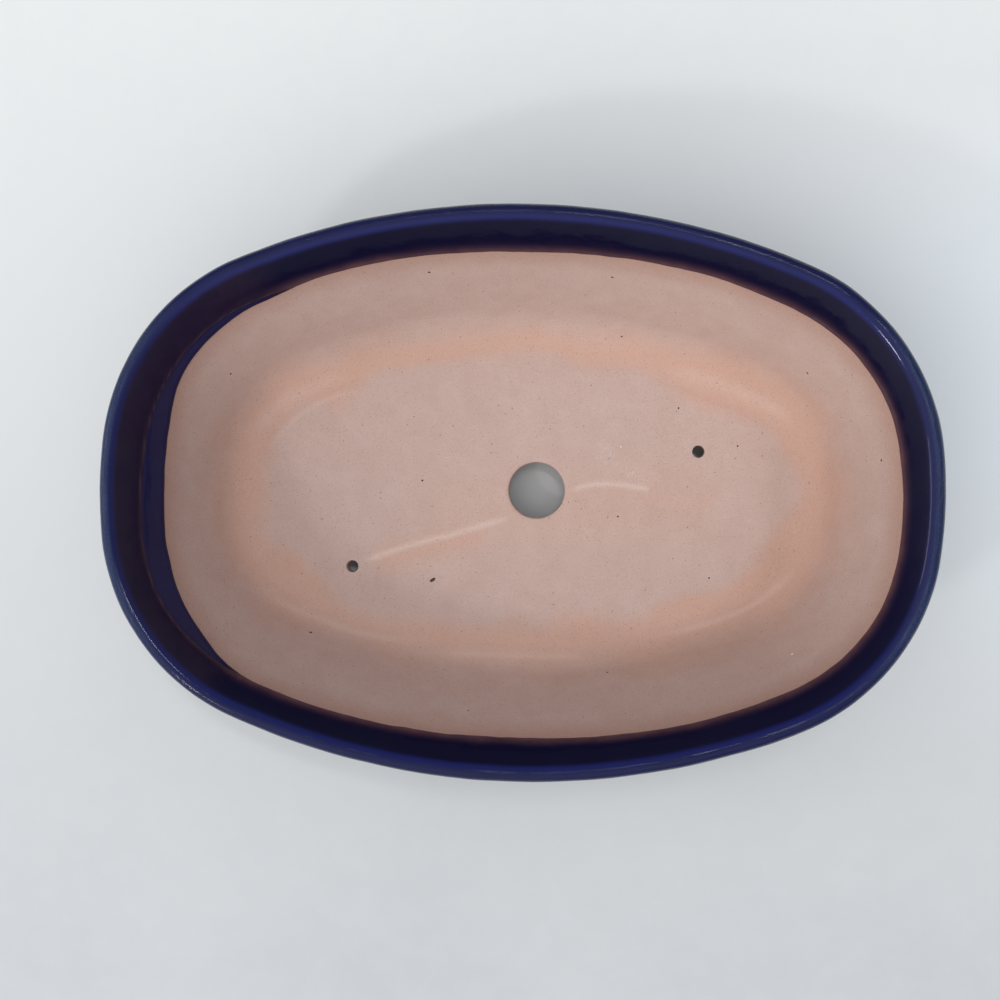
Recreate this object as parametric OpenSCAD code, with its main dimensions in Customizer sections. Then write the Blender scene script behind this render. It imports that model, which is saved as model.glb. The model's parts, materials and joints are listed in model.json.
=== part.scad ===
// Oval bonsai pot: a stoneware body with a cobalt glaze outside and over the lip.
//
// Every level outline of the pot is the same eight-arc oval, moved inward by an
// inset: two end arcs, two side arcs and a corner arc between each pair. The wall,
// rim and glaze are sections swept round that oval. The pot stands on z = 0,
// centred on the origin, with its long axis along X and its front facing -Y.

/* [Rim oval] */
// Overall length, over the lip
rim_l = 350; // [330:2:370]
// Overall width, over the lip
rim_w = 239.2; // [230:0.1:250]
// Radius of the four corner arcs at the lip's outer edge
corner_r = 92.4; // [88:0.1:96]

/* [Heights] */
// Overall height, from the table to the lip's crest
pot_h = 90; // [86:1:110]
// Height of the feet
foot_h = 8; // [6:1:10]
// Thickness of the floor slab
floor_t = 8; // [6:1:10]

/* [Wall section] */
// Inset of the neck below the lip, from the lip's outer edge
neck_inset = 11.5; // [10:0.5:13]
// Inset of the outer wall where it meets the underside
base_inset = 37; // [34:1:38]
// Inset of the slab's edge, which the wall stands round
slab_inset = 41; // [40:1:43]
// Inset of the arris where the collar inside the lip meets the inner wall
collar_inset = 16.5; // [15:0.1:18]
// How much further in the glaze ends, just under the arris
glaze_overrun = 0.9; // [0.5:0.1:1.5]
// Inset of the inner wall where the floor fillet starts
fillet_inset = 36.5; // [35:0.5:38]
// Inset of the flat floor's edge
floor_inset = 58; // [54:1:60]
// Thickness of the fired glaze
glaze_t = 0.6; // [0.4:0.1:0.8]

/* [Holes in the floor] */
// Diameter of the drain hole
drain_d = 26; // [20:1:32]
// Diameter of the holes for the tie-down wire
wire_d = 5.6; // [4:0.1:7]
// Centre of the drain hole along the pot
drain_x = 6.5; // [-10:0.5:10]
// Centre of the drain hole across the pot
drain_y = 1; // [-10:0.5:10]

/* [Feet] */
// Width of a foot where it joins the underside
foot_top_w = 13; // [11:1:14]
// Width of a foot's sole
foot_sole_w = 9; // [7:1:10]
// Height of the scallop under a foot
scallop_h = 2.8; // [1:0.1:4]
// Radius of the scallop
scallop_r = 18; // [14:1:24]

/* [Hidden] */
$fn = 180;
CURVE_STEPS = 8;
CLAY = [0.85, 0.70, 0.62];
COBALT = [0.06, 0.08, 0.32];

// Where an end arc meets a corner arc, both are square to a 36:323:325 slope, and
// where a side arc meets one, to a 5:12:13 slope. Each run is the distance from a
// corner arc's centre to its neighbour's, which gives the length and width wanted.
end_dir = [323, 36] / 325;
side_dir = [5, 12] / 13;
half_l = rim_l / 2 - corner_r;
half_w = rim_w / 2 - corner_r;
det = side_dir.x * end_dir.y - (1 - side_dir.y) * (1 - end_dir.x);
side_run = (end_dir.y * half_l - (1 - end_dir.x) * half_w) / det;
end_run = (side_dir.x * half_w - (1 - side_dir.y) * half_l) / det;
corner_c = [side_run * side_dir.x, end_run * end_dir.y];
end_c = corner_c - end_run * end_dir;
side_c = corner_c - side_run * side_dir;

// The eight arcs anticlockwise from the back right corner: the quadrant that each
// starts in, its centre in the first quadrant, and its radius at inset 0
QUADRANTS = [[1, 1], [1, 1], [-1, 1], [-1, 1], [-1, -1], [-1, -1], [1, -1], [1, -1]];
CENTRES = [corner_c, side_c, corner_c, end_c, corner_c, side_c, corner_c, end_c];
RADII = [for (run = [0, side_run, 0, end_run, 0, side_run, 0, end_run]) corner_r + run];

// How far the cells that part the arcs reach in and out from the lip's edge
CELL_IN = 72;
CELL_OUT = 40;

// Levels and key points of the section, as [minus the inset, height]
floor_z = foot_h + floor_t;
lip_h = 20.5;
neck = [-neck_inset, pot_h - lip_h];
base = [-base_inset, foot_h];
arris = [-collar_inset, pot_h - 12];
glaze_line = arris - [glaze_overrun, 2 * glaze_overrun];

wire_left_at = [-79, -36.5];
wire_right_at = [80.5, 20.5];
foot_r = 46.8;
foot_half_l = 18;
foot_turn = atan2(3, 4);

function in_quadrant(p, q) = [p.x * q.x, p.y * q.y];

function arc_centre(k) = in_quadrant(CENTRES[k], QUADRANTS[k]);

// The point at an inset on the line where arc k - 1 meets arc k
function junction(k, inset) =
    let (i = k % 8, dir = i % 4 == 0 || i % 4 == 3 ? end_dir : side_dir)
    in_quadrant(corner_c + (corner_r - inset) * dir, QUADRANTS[i]);

// Points of a quadratic curve from a to b that heads for c, without b
function curve(a, c, b) = [
    for (i = [0 : CURVE_STEPS - 1])
        let (t = i / CURVE_STEPS) (1 - t) * (1 - t) * a + 2 * t * (1 - t) * c + t * t * b
];

// A run of points moved to their left by d
function moved_left(pts, d) = [
    for (i = [0 : len(pts) - 1])
        let (a = pts[max(i - 1, 0)], b = pts[min(i + 1, len(pts) - 1)], e = (b - a) / norm(b - a))
        pts[i] + d * [-e.y, e.x]
];

function reversed(pts) = [for (i = [len(pts) - 1 : -1 : 0]) pts[i]];

function part_of(pts, from, to) = [for (i = [from : to]) pts[i]];

// The glaze's outer face, from the base up the belly, round the lip and down the
// collar to the glaze line, and the clay's face under it
belly = curve(base, [-26, foot_h + 20], neck);
under_lip = curve(neck, [1.7 - neck_inset, neck.y + 5.5], [-2.4, pot_h - 13.4]);
lip_edge = curve([-2.4, pot_h - 13.4], [0, pot_h - 12.4], [0, pot_h - 8.5]);
lip_crest = curve([0, pot_h - 8.5], [0, pot_h], [-4.2, pot_h]);
lip_inner = curve([-4.2, pot_h], [-6, pot_h], [-7.4, pot_h - 1.4]);
collar = curve([-7.4, pot_h - 1.4], [-12, pot_h - 6.2], arris);
glaze_face = concat(belly, under_lip, lip_edge, lip_crest, lip_inner, collar, [arris, glaze_line]);
clay_face = moved_left(glaze_face, glaze_t);
last = len(clay_face) - 1;

// The bare clay inside, from the glaze line down to the floor
bare_wall = curve(clay_face[last], [-27, pot_h - 37], [-fillet_inset, floor_z + 14]);
fillet = curve([-fillet_inset, floor_z + 14], [-42.5, floor_z], [-floor_inset, floor_z]);

// Sweeps a section, drawn at the lip's edge, round the oval
module swept_round_oval() {
    for (k = [0:7])
        in_arc_cell(k) rotate_extrude() translate([RADII[k], 0]) children();
}

// A disc of the oval at an inset, standing on z = 0
module oval_disc(inset, h) {
    linear_extrude(h) polygon([for (k = [0:7]) junction(k, CELL_IN)]);
    for (k = [0:7])
        in_arc_cell(k) cylinder(r = RADII[k] - inset, h = h);
}

// Moves a child to an arc's centre and keeps what lies along that arc
module in_arc_cell(k) {
    cell = [
        junction(k, CELL_IN), junction(k, -CELL_OUT),
        junction(k + 1, -CELL_OUT), junction(k + 1, CELL_IN)
    ];
    intersection() {
        translate(arc_centre(k)) children();
        linear_extrude(2 * pot_h) polygon(cell);
    }
}

module floor_slab() {
    color(CLAY) difference() {
        translate([0, 0, foot_h]) oval_disc(slab_inset, floor_t);
        floor_hole([drain_x, drain_y], drain_d);
        floor_hole(wire_left_at, wire_d);
        floor_hole(wire_right_at, wire_d);
    }
}

module floor_hole(at, d) {
    translate([at.x, at.y, foot_h - 1]) cylinder(d = d, h = floor_t + 2);
}

module wall() {
    outside = part_of(clay_face, 0, CURVE_STEPS);
    heel = [[-slab_inset, foot_h], [-base_inset - 2 * glaze_t, foot_h]];
    rebate = [[-floor_inset, floor_z], [-slab_inset, floor_z]];
    color(CLAY) swept_round_oval() polygon(concat(heel, outside, bare_wall, fillet, rebate));
}

module rim_band() {
    color(CLAY) swept_round_oval() polygon(part_of(clay_face, CURVE_STEPS, last));
}

module glaze_coat() {
    color(COBALT) swept_round_oval() polygon(concat(glaze_face, reversed(clay_face)));
}

// A bracket foot in its own frame, with the corner arc's centre at the origin
module foot() {
    ray = 2 * [foot_r * 12 / 13, foot_half_l];
    behind = [-ray.y, ray.x];
    color(COBALT) difference() {
        union() {
            intersection() {
                rotate_extrude() foot_section();
                linear_extrude(foot_h) polygon([[0, 0], [ray.x, -ray.y], ray]);
            }
            for (side = [1, -1]) intersection() {
                translate([foot_r * 12 / 13, side * foot_half_l])
                    cylinder(d1 = foot_sole_w, d2 = foot_top_w, h = foot_h);
                linear_extrude(foot_h)
                    polygon([for (p = [[0, 0], ray, ray + behind, behind]) [p.x, side * p.y]]);
            }
        }
        translate([0, 0, scallop_h - scallop_r]) rotate([0, 90, 0]) cylinder(r = scallop_r, h = 2 * foot_r);
    }
}

module foot_section() {
    polygon([
        [foot_r - foot_sole_w / 2, 0], [foot_r + foot_sole_w / 2, 0],
        [foot_r + foot_top_w / 2, foot_h], [foot_r - foot_top_w / 2, foot_h]
    ]);
}

// Places a foot under the corner arc of one quadrant
module foot_at(quadrant) {
    mirror([quadrant.x < 0 ? 1 : 0, 0, 0]) mirror([0, quadrant.y < 0 ? 1 : 0, 0])
        translate(corner_c) rotate(foot_turn) foot();
}

floor_slab();
wall();
rim_band();
glaze_coat();
foot_at([-1, -1]);  // foot_front_left
foot_at([1, -1]);  // foot_front_right
foot_at([-1, 1]);  // foot_back_left
foot_at([1, 1]);  // foot_back_right
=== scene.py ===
"""Looks for the oval bonsai pot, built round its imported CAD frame.

Lengths in this file are millimetres until the meshes and lights are made, which are in metres.
"turn" is how far round the lip a place is, from 0 to 1: anticlockwise from the right end (+X).
"inset" is how far inside the lip's outer edge a place is, and "run" is the distance along the
wall's section, from the outside of the base up the belly, over the lip and down to the floor.
"""
import json
import math

import bpy
import numpy as np
from mathutils import Matrix, Vector
from mathutils.geometry import delaunay_2d_cdt


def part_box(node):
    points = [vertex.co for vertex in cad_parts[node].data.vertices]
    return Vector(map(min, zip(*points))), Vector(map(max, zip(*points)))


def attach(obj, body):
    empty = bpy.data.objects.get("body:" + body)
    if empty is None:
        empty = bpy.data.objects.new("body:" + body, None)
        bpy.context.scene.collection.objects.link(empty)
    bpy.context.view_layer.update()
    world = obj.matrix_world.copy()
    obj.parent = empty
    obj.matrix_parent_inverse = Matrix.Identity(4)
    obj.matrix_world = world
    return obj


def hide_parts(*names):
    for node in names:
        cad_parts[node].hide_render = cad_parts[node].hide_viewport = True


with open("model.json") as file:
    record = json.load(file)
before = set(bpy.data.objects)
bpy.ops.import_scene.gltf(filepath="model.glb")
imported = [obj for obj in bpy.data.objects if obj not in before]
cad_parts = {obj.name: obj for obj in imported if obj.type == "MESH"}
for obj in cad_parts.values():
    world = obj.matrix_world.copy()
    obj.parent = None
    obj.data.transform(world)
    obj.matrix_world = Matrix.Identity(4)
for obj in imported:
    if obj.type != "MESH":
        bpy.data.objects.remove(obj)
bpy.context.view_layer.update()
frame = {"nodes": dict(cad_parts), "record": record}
BODY = "root"
MM = 0.001

# ---------------------------------------------------------------- sizes from the frame
glaze_low, glaze_high = (Vector(c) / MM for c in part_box("glaze_coat"))
slab_low, slab_high = (Vector(c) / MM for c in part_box("floor_slab"))
RIM_L = glaze_high.x - glaze_low.x
RIM_W = glaze_high.y - glaze_low.y
POT_H = glaze_high.z
BASE_Z = slab_low.z
FLOOR_Z = slab_high.z
SLAB_INSET = glaze_high.x - slab_high.x
HOLES = {m["name"]: m for m in frame["record"]["mounts"] if m["kind"] == "bore"}

# ---------------------------------------------------------------- the oval and the section
CORNER_R = 92.4
# Both ends of a corner arc, as the directions from its centre
END_DIR = np.array([323, 36]) / 325
SIDE_DIR = np.array([5, 12]) / 13
# How many sections there are round the pot, how many points each has, and how many of
# the first are sure to lie on the belly
STATIONS = 540
SECTION_POINTS = 760
BELLY_POINTS = 250
# Section points from the lip's outer edge to well inside it
PAST_THE_LIP = 150
# Rows of the bare wall, from the glaze down to the floor
WALL_STEPS = 84
# The circle that noise which runs round the lip is drawn on, so that it closes
RING_R = 153

GLAZE_T = 0.6
BASE_INSET = 37.0
FLOOR_INSET = 58.0
# The arris where the collar inside the lip meets the inner wall: its inset in the CAD model, how far
# it is below the lip's crest, and how steeply the collar goes on down where it is wider
ARRIS_INSET = 16.5
ARRIS_DROP = 12
COLLAR_SLOPE = 5.8 / 4.5
# Key points of the section, as (minus the inset, height)
NECK = (-11.5, POT_H - 20.5)
LIP_FOOT = (-2.4, POT_H - 13.4)
LIP_SIDE = (0, POT_H - 8.5)
LIP_TOP = (-4.2, POT_H)
LIP_END = (-7.4, POT_H - 1.4)
FILLET_TOP = (-36.5, FLOOR_Z + 14)
# Drilled holes of a larger radius than this have more points and a softer edge
WIDE_HOLE = 8
# How far the back of the glaze is sunk into the clay
GLAZE_SUNK = 0.15
# How deep under the floor's face the wall's edge and the floor's skirt are
WALL_SKIRT = 2.4
FLOOR_SKIRT = 2.6


def between(a, heading, b, count=40):
    """Points of a quadratic curve from a to b that heads for a point."""
    t = np.linspace(0, 1, count)[:, None]
    a, heading, b = (np.array(p, float) for p in (a, heading, b))
    return (1 - t) ** 2 * a + 2 * t * (1 - t) * heading + t * t * b


def lengths_along(points):
    """The distance along a line of points, at each of them."""
    return np.concatenate([[0], np.cumsum(np.linalg.norm(np.diff(points, axis=0), axis=1))])


def normals_of(points):
    """Unit normals on the left of a line of points."""
    step = np.gradient(points, axis=0)
    step /= np.linalg.norm(step, axis=1)[:, None]
    return np.stack([-step[:, 1], step[:, 0]], axis=1)


def smoothed(points, passes):
    """A line of points with its kinks rounded off and its ends kept."""
    for _ in range(passes):
        points = points.copy()
        points[1:-1] = (points[:-2] + 2 * points[1:-1] + points[2:]) / 4
    return points


def clay_section(arris_inset):
    """The clay's face at even steps, its length, and the run of the arris."""
    h = POT_H
    deeper = arris_inset - ARRIS_INSET
    arris = (-arris_inset, h - ARRIS_DROP - COLLAR_SLOPE * deeper)
    glazed = [
        between((-BASE_INSET, BASE_Z), (-26, BASE_Z + 20), NECK),
        between(NECK, (NECK[0] + 1.7, NECK[1] + 5.5), LIP_FOOT),
        between(LIP_FOOT, (0, h - 12.4), LIP_SIDE),
        between(LIP_SIDE, (0, h), LIP_TOP),
        between(LIP_TOP, (-6, h), LIP_END),
        between(LIP_END, (-12 - deeper / 2, h - 6.2 - COLLAR_SLOPE * deeper / 2), arris),
    ]
    face = np.vstack([glazed[0]] + [part[1:] for part in glazed[1:]])
    clay = face + GLAZE_T * normals_of(face)
    wall = between(clay[-1], (-27, h - 37), FILLET_TOP)
    fillet = between(FILLET_TOP, (-42.5, FLOOR_Z), (-FLOOR_INSET, FLOOR_Z))
    line = np.vstack([clay, wall[1:], fillet[1:]])
    run = lengths_along(line)
    even = np.linspace(0, run[-1], SECTION_POINTS)
    line = np.stack([np.interp(even, run, line[:, k]) for k in (0, 1)], axis=1)
    return smoothed(line, 10), run[-1], run[len(clay) - 1]


# How many places are measured against the lip at once
PLACE_BLOCK = 4000


class Oval:
    """The lip's outline: eight arcs, with evenly spaced stations round them."""

    def __init__(self, length, width, count):
        half_l, half_w = length / 2 - CORNER_R, width / 2 - CORNER_R
        det = SIDE_DIR[0] * END_DIR[1] - (1 - SIDE_DIR[1]) * (1 - END_DIR[0])
        side_run = (END_DIR[1] * half_l - (1 - END_DIR[0]) * half_w) / det
        end_run = (SIDE_DIR[0] * half_w - (1 - SIDE_DIR[1]) * half_l) / det
        corner = np.array([side_run * SIDE_DIR[0], end_run * END_DIR[1]])
        end, side = corner - end_run * END_DIR, corner - side_run * SIDE_DIR
        low, high = (math.atan2(d[1], d[0]) for d in (END_DIR, SIDE_DIR))
        centres = [end, corner, side, corner, end, corner, side, corner, end]
        quadrants = [(1, 1), (1, 1), (1, 1), (-1, 1), (-1, -1), (-1, -1), (-1, -1), (1, -1), (1, -1)]
        radii = CORNER_R + np.array([end_run, 0, side_run, 0, end_run, 0, side_run, 0, end_run])
        bounds = [0, low, high, math.pi - high, math.pi - low]
        bounds += [math.pi + low, math.pi + high, 2 * math.pi - high, 2 * math.pi - low, 2 * math.pi]
        starts = np.concatenate([[0], np.cumsum(radii * np.diff(bounds))])
        self.turn = np.arange(count) / count
        distance = self.turn * starts[-1]
        arc = np.searchsorted(starts, distance, side="right") - 1
        angle = np.interp(distance, starts, bounds)
        self.centre = (np.array(centres) * np.array(quadrants))[arc]
        self.radius = radii[arc]
        self.out = np.stack([np.cos(angle), np.sin(angle)], axis=1)

    def points(self, section):
        """Places in space for section points: one set for all stations, or one for each."""
        section = np.broadcast_to(section, (len(self.turn),) + section.shape[-2:])
        reach = self.radius[:, None] + section[..., 0]
        flat = self.centre[:, None] + reach[..., None] * self.out[:, None]
        return np.concatenate([flat, section[..., 1:]], axis=-1)

    def place(self, flat):
        """The inset and the turn of places inside the lip, given as x and y."""
        rim = self.points(np.array([[0.0, 0.0]]))[:, 0, :2]
        inset, turn = np.empty(len(flat)), np.empty(len(flat))
        for block in np.array_split(np.arange(len(flat)), max(1, len(flat) // PLACE_BLOCK)):
            gap = np.linalg.norm(flat[block, None] - rim[None], axis=2)
            nearest = gap.argmin(axis=1)
            inset[block] = gap[np.arange(len(block)), nearest]
            turn[block] = self.turn[nearest]
        return inset, turn


OVAL = Oval(RIM_L, RIM_W, STATIONS)


def round_the_rim(turn, keys):
    """A smooth value round the lip from a few {turn: value} keys."""
    at = np.array(sorted(keys))
    value = np.array([keys[k] for k in at])
    at = np.concatenate([at - 1, at, at + 1])
    value = np.tile(value, 3)
    fine = np.linspace(-1, 2, 3001)
    curve = np.interp(fine, at, value)
    reach = 15
    kernel = np.hanning(2 * reach + 1)
    curve = np.convolve(np.pad(curve, reach, mode="edge"), kernel / kernel.sum(), mode="valid")
    return np.interp(turn, fine, curve)


def ramp(value, low, high):
    """0 at low, 1 at high, and a smooth step between."""
    t = np.clip((value - low) / (high - low), 0, 1)
    return t * t * (3 - 2 * t)


def waves(points, wavelength, count, seed):
    """Smooth seeded noise of about unit size: sine waves in random directions."""
    rng = np.random.default_rng(seed)
    total = np.zeros(len(points))
    for _ in range(count):
        direction = rng.normal(size=points.shape[1])
        size = wavelength * rng.uniform(0.7, 1.4) * np.linalg.norm(direction)
        total += np.sin(points @ (direction * 2 * math.pi / size) + rng.uniform(0, 2 * math.pi))
    return total * math.sqrt(2 / count)


def smooth_line(points, steps=12):
    """A Catmull-Rom line through a few points."""
    p = np.array(points, float)
    p = np.vstack([2 * p[0] - p[1], p, 2 * p[-1] - p[-2]])
    t = np.linspace(0, 1, steps, endpoint=False)[:, None]
    out = []
    for a, b, c, d in zip(p, p[1:], p[2:], p[3:]):
        out.append(0.5 * (2 * b + (c - a) * t + (2 * a - 5 * b + 4 * c - d) * t ** 2
                          + (3 * b - a - 3 * c + d) * t ** 3))
    return np.vstack(out + [p[-2:-1]])


def from_line(flat, points):
    """How far places are from a smooth line, and how far along it from 0 to 1."""
    line = smooth_line(points)
    a, step = line[:-1], np.diff(line, axis=0)
    run = lengths_along(line)
    best, along = np.full(len(flat), 1e9), np.zeros(len(flat))
    for k in range(len(a)):
        t = np.clip((flat - a[k]) @ step[k] / (step[k] @ step[k]), 0, 1)
        gap = np.linalg.norm(flat - a[k] - t[:, None] * step[k], axis=1)
        nearer = gap < best
        best[nearer] = gap[nearer]
        along[nearer] = ((run[k] + t * (run[k + 1] - run[k])) / run[-1])[nearer]
    return best, along


# ---------------------------------------------------------------- marks on the clay
# Their places were read off the photograph, and most were turned into millimetres by a scratch
# program that holds the camera's fit
# How far in the collar's arris is: {turn: inset}
ARRIS_AT = {0: 15.9, 0.06: 16.8, 0.11: 18, 0.16: 17, 0.25: 18.7, 0.32: 17.5, 0.37: 17.8, 0.41: 17.1,
            0.46: 16.5, 0.51: 15.3, 0.56: 14.8, 0.61: 15.8, 0.66: 15.9, 0.75: 17.3, 0.84: 15.9, 0.88: 16.4,
            0.94: 15.5}
# How far the glaze runs on down the wall below the arris
OVERRUN = {0: 0.4, 0.35: 0.5, 0.375: 3.4, 0.41: 6.2, 0.438: 7.6, 0.467: 13, 0.5: 15.2, 0.53: 15,
           0.562: 12.8, 0.594: 7.2, 0.612: 2, 0.63: 0.4}
# The band of the blush on the fillet, as insets of its outer and inner edge
BLUSH_OUT = {0: 34, 0.1: 38, 0.2: 46, 0.27: 45, 0.36: 42, 0.5: 37, 0.6: 38, 0.7: 40, 0.8: 40, 0.92: 37}
BLUSH_IN = {0: 50, 0.05: 54, 0.1: 62, 0.16: 62, 0.22: 57, 0.3: 57, 0.36: 64, 0.42: 60, 0.48: 53,
            0.53: 55, 0.58: 62, 0.64: 57, 0.68: 52, 0.75: 63, 0.8: 60, 0.84: 58, 0.9: 66, 0.95: 62}
# How much the wall's colour is darkened, round the pot and inwards: it makes up for shade that the
# lights here don't give, and is no mark of the clay's own
WALL_SHADE = {0: 0.8, 0.1: 0.4, 0.17: 0.1, 0.25: 0, 0.4: 0, 0.46: 0.45, 0.5: 0.85, 0.6: 0.65, 0.75: 0.75,
              0.88: 1.0, 0.95: 0.9}
SHADE_REACH = {0: 64, 0.08: 60, 0.2: 45, 0.4: 48, 0.5: 40, 0.75: 40, 0.85: 48, 0.93: 60}
# Marks pressed or scraped into the floor's corners: points, height and half width
PRESSED = [
    ([(-128, 15), (-119, 27), (-111, 36), (-100, 43), (-84, 50), (-66, 54.5)], -0.42, 2.6),
    ([(-129, 20), (-120, 32.5), (-109, 42), (-96, 48.5), (-80, 54.5)], 0.22, 2.8),
    ([(-122, 14), (-112, 27.5), (-101, 37), (-88, 43.5), (-74, 46.5)], 0.26, 1.2),
    ([(-121, -45), (-110, -53.5), (-95, -59.5), (-79, -65), (-65, -68), (-46, -69.8)], 0.34, 1.5),
    ([(-122, -38), (-110, -47.5), (-95, -54), (-80, -59)], -0.22, 2.2),
    ([(-42, -74.2), (-18, -75), (10, -75), (38, -74)], 0.2, 1.6),
    ([(58, -65.5), (78, -60.5), (94, -55), (108, -48), (121, -37), (128, -29)], 0.32, 1.3),
    ([(60, -60), (78, -55), (94, -49), (108, -41.5)], -0.22, 2.2),
    ([(52, 57.5), (67, 53), (80, 48.5), (98, 42), (112, 35), (122, 26)], -0.38, 2.6),
    ([(60, 60), (80, 54.5), (99, 48), (115, 40), (126, 30)], 0.2, 2.6),
]
# A smear of slip across the floor, in two strokes: points, height and half width
SMEAR = [
    ([(-75.4, -34.9), (-64, -30.2), (-52, -26), (-42.7, -23.2), (-33, -20.6), (-19.5, -16.2), (-4, -11.3)],
     0.30, 1.1),
    ([(22, 1.5), (31, 4), (40, 4.8), (50, 4), (60, 2.6)], 0.16, 0.9),
]
# Blush that runs across the floor, mostly beside the smear: points, weight and half width
HALO = [
    ([(-74, -37), (-52, -29), (-33, -24), (-10, -18)], 0.9, 7.0),
    ([(24, -3), (40, 0), (60, -1.5), (82, -1), (96, 0)], 0.55, 7.0),
    ([(-60, -22), (-10, -10), (40, -4), (105, 2)], 0.4, 20.0),
]
# Chalky smudges: centre and size
SMUDGE = [((38, 18.3), 4.5), ((50, 9.8), 4.0)]
# Iron specks that stand in the clay's face: place, half length, half width and bearing in degrees
IRON_SPECKS = [
    ((-41.1, -41.9), 1.6, 0.8, 35), ((-46.8, 4.4), 0.5, 0.45, 0), ((44.3, -10.2), 0.45, 0.4, 0),
    ((70.9, 40.3), 0.5, 0.4, 60), ((44, 72.1), 0.45, 0.4, 0), ((40.9, -80.2), 0.45, 0.4, 0),
    ((98.2, 23.4), 0.45, 0.4, 20), ((86.7, -37.5), 0.4, 0.4, 0), ((-94.9, -66.1), 0.8, 0.6, 30),
    ((-40, 94), 0.7, 0.5, -30), ((38.6, 93.1), 0.6, 0.5, 0), ((124.7, 55.1), 0.5, 0.45, 0),
    ((152.8, 17.2), 0.6, 0.5, 0), ((-19.2, -94.9), 0.5, 0.4, 0), ((-130.5, 50.3), 0.6, 0.5, 40),
]
# Flecks of quartz, given in the same way
WHITE_FLECKS = [((119.3, -66.4), 0.6, 0.4, 30), ((87.6, -87), 0.5, 0.4, 0), ((45, 22), 0.5, 0.3, 10)]


def pressed_marks(flat):
    """The height of the marks in the floor's corners and of the smear of slip."""
    total = np.zeros(len(flat))
    for points, height, half_width in PRESSED + SMEAR:
        gap, along = from_line(flat, points)
        ends = ramp(along, 0.0, 0.22) * ramp(1 - along, 0.0, 0.22)
        total += height * ends * np.exp(-(gap / half_width) ** 2)
    return total


def clay_relief(flat, inset):
    """How far the bare clay stands proud of its plain shape."""
    slow = 0.22 * waves(flat, 85, 7, 11) + 0.07 * waves(flat, 30, 9, 12)
    grain = 0.018 * waves(flat, 5, 24, 13)
    return slow * ramp(inset, 12, 40) + grain + pressed_marks(flat)


def clay_tints(flat, inset, turn):
    """Masks for the clay's material: blush, pale slip, chalky smudges and the painted shade."""
    uneven = 2.2 * waves(flat, 38, 7, 21) + 0.5 * waves(flat, 14, 9, 22)
    outer = round_the_rim(turn, BLUSH_OUT) + 0.6 * uneven
    inner = round_the_rim(turn, BLUSH_IN) + uneven
    blush = ramp(inset, outer - 9, outer + 7) * (1 - ramp(inset, inner - 6, inner + 4))
    pale = np.zeros(len(flat))
    for points, weight, half_width in HALO:
        gap, along = from_line(flat, points)
        ends = ramp(along, 0.0, 0.2) * ramp(1 - along, 0.0, 0.2)
        blush = np.maximum(blush, weight * ends * np.exp(-(gap / half_width) ** 2))
    for points, _, half_width in SMEAR:
        gap, along = from_line(flat, points)
        ends = ramp(along, 0.0, 0.12) * ramp(1 - along, 0.0, 0.12)
        pale = np.maximum(pale, ends * np.exp(-(gap / (1.3 * half_width)) ** 2))
    for points, height, half_width in PRESSED:
        if height > 0:
            gap, along = from_line(flat, points)
            ends = ramp(along, 0.0, 0.25) * ramp(1 - along, 0.0, 0.25)
            pale = np.maximum(pale, 0.35 * ends * np.exp(-(gap / half_width) ** 2))
    chalk = np.zeros(len(flat))
    for centre, size in SMUDGE:
        chalk += np.exp(-(np.linalg.norm(flat - np.array(centre), axis=1) / size) ** 2)
    # Painted shade: the wall darkened round the pot, where the lights give too little shade
    reach = round_the_rim(turn, SHADE_REACH)
    shade = round_the_rim(turn, WALL_SHADE) * (1 - ramp(inset, reach - 10, reach + 8))
    return {"blush": blush, "pale": pale, "chalk": chalk, "shade": shade}


# ---------------------------------------------------------------- meshes
def ring_faces(stations, across):
    """Quads of a closed shell: sections round a ring, each a closed loop of points."""
    i, j = np.meshgrid(np.arange(stations), np.arange(across), indexing="ij")
    i2, j2 = (i + 1) % stations, (j + 1) % across
    corners = [i * across + j, i2 * across + j, i2 * across + j2, i * across + j2]
    return np.stack(corners, axis=-1).reshape(-1, 4)


def new_mesh(name, points, faces, attributes=None):
    """A smooth-shaded mesh from points in millimetres."""
    mesh = bpy.data.meshes.new(name)
    mesh.from_pydata((np.asarray(points) * MM).tolist(), [], [list(map(int, f)) for f in faces])
    mesh.shade_smooth()
    for key, values in (attributes or {}).items():
        values = np.asarray(values, np.float32)
        if values.ndim == 2:
            layer = mesh.attributes.new(key, "FLOAT_VECTOR", "POINT")
            layer.data.foreach_set("vector", values.ravel())
        else:
            layer = mesh.attributes.new(key, "FLOAT", "POINT")
            layer.data.foreach_set("value", values)
    return mesh


def new_piece(name, mesh, slot, *nodes):
    """An object that rides on the pot and hides the CAD nodes that are named, if any."""
    piece = bpy.data.objects.new(name, mesh)
    bpy.context.scene.collection.objects.link(piece)
    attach(piece, BODY)
    if nodes:
        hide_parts(*nodes)
    return piece


def steps(start, end, spacing):
    """Evenly spaced values from start up to but without end."""
    count = max(2, round(abs(end - start) / spacing))
    return np.linspace(start, end, count, endpoint=False)


ARRIS_INSETS = round_the_rim(OVAL.turn, ARRIS_AT)
SECTIONS, SECTION_LENGTH, ARRIS_RUN = (np.array(part) for part in zip(*map(clay_section, ARRIS_INSETS)))
SECTIONS_OUT = np.array([-normals_of(section) for section in SECTIONS])
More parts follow.
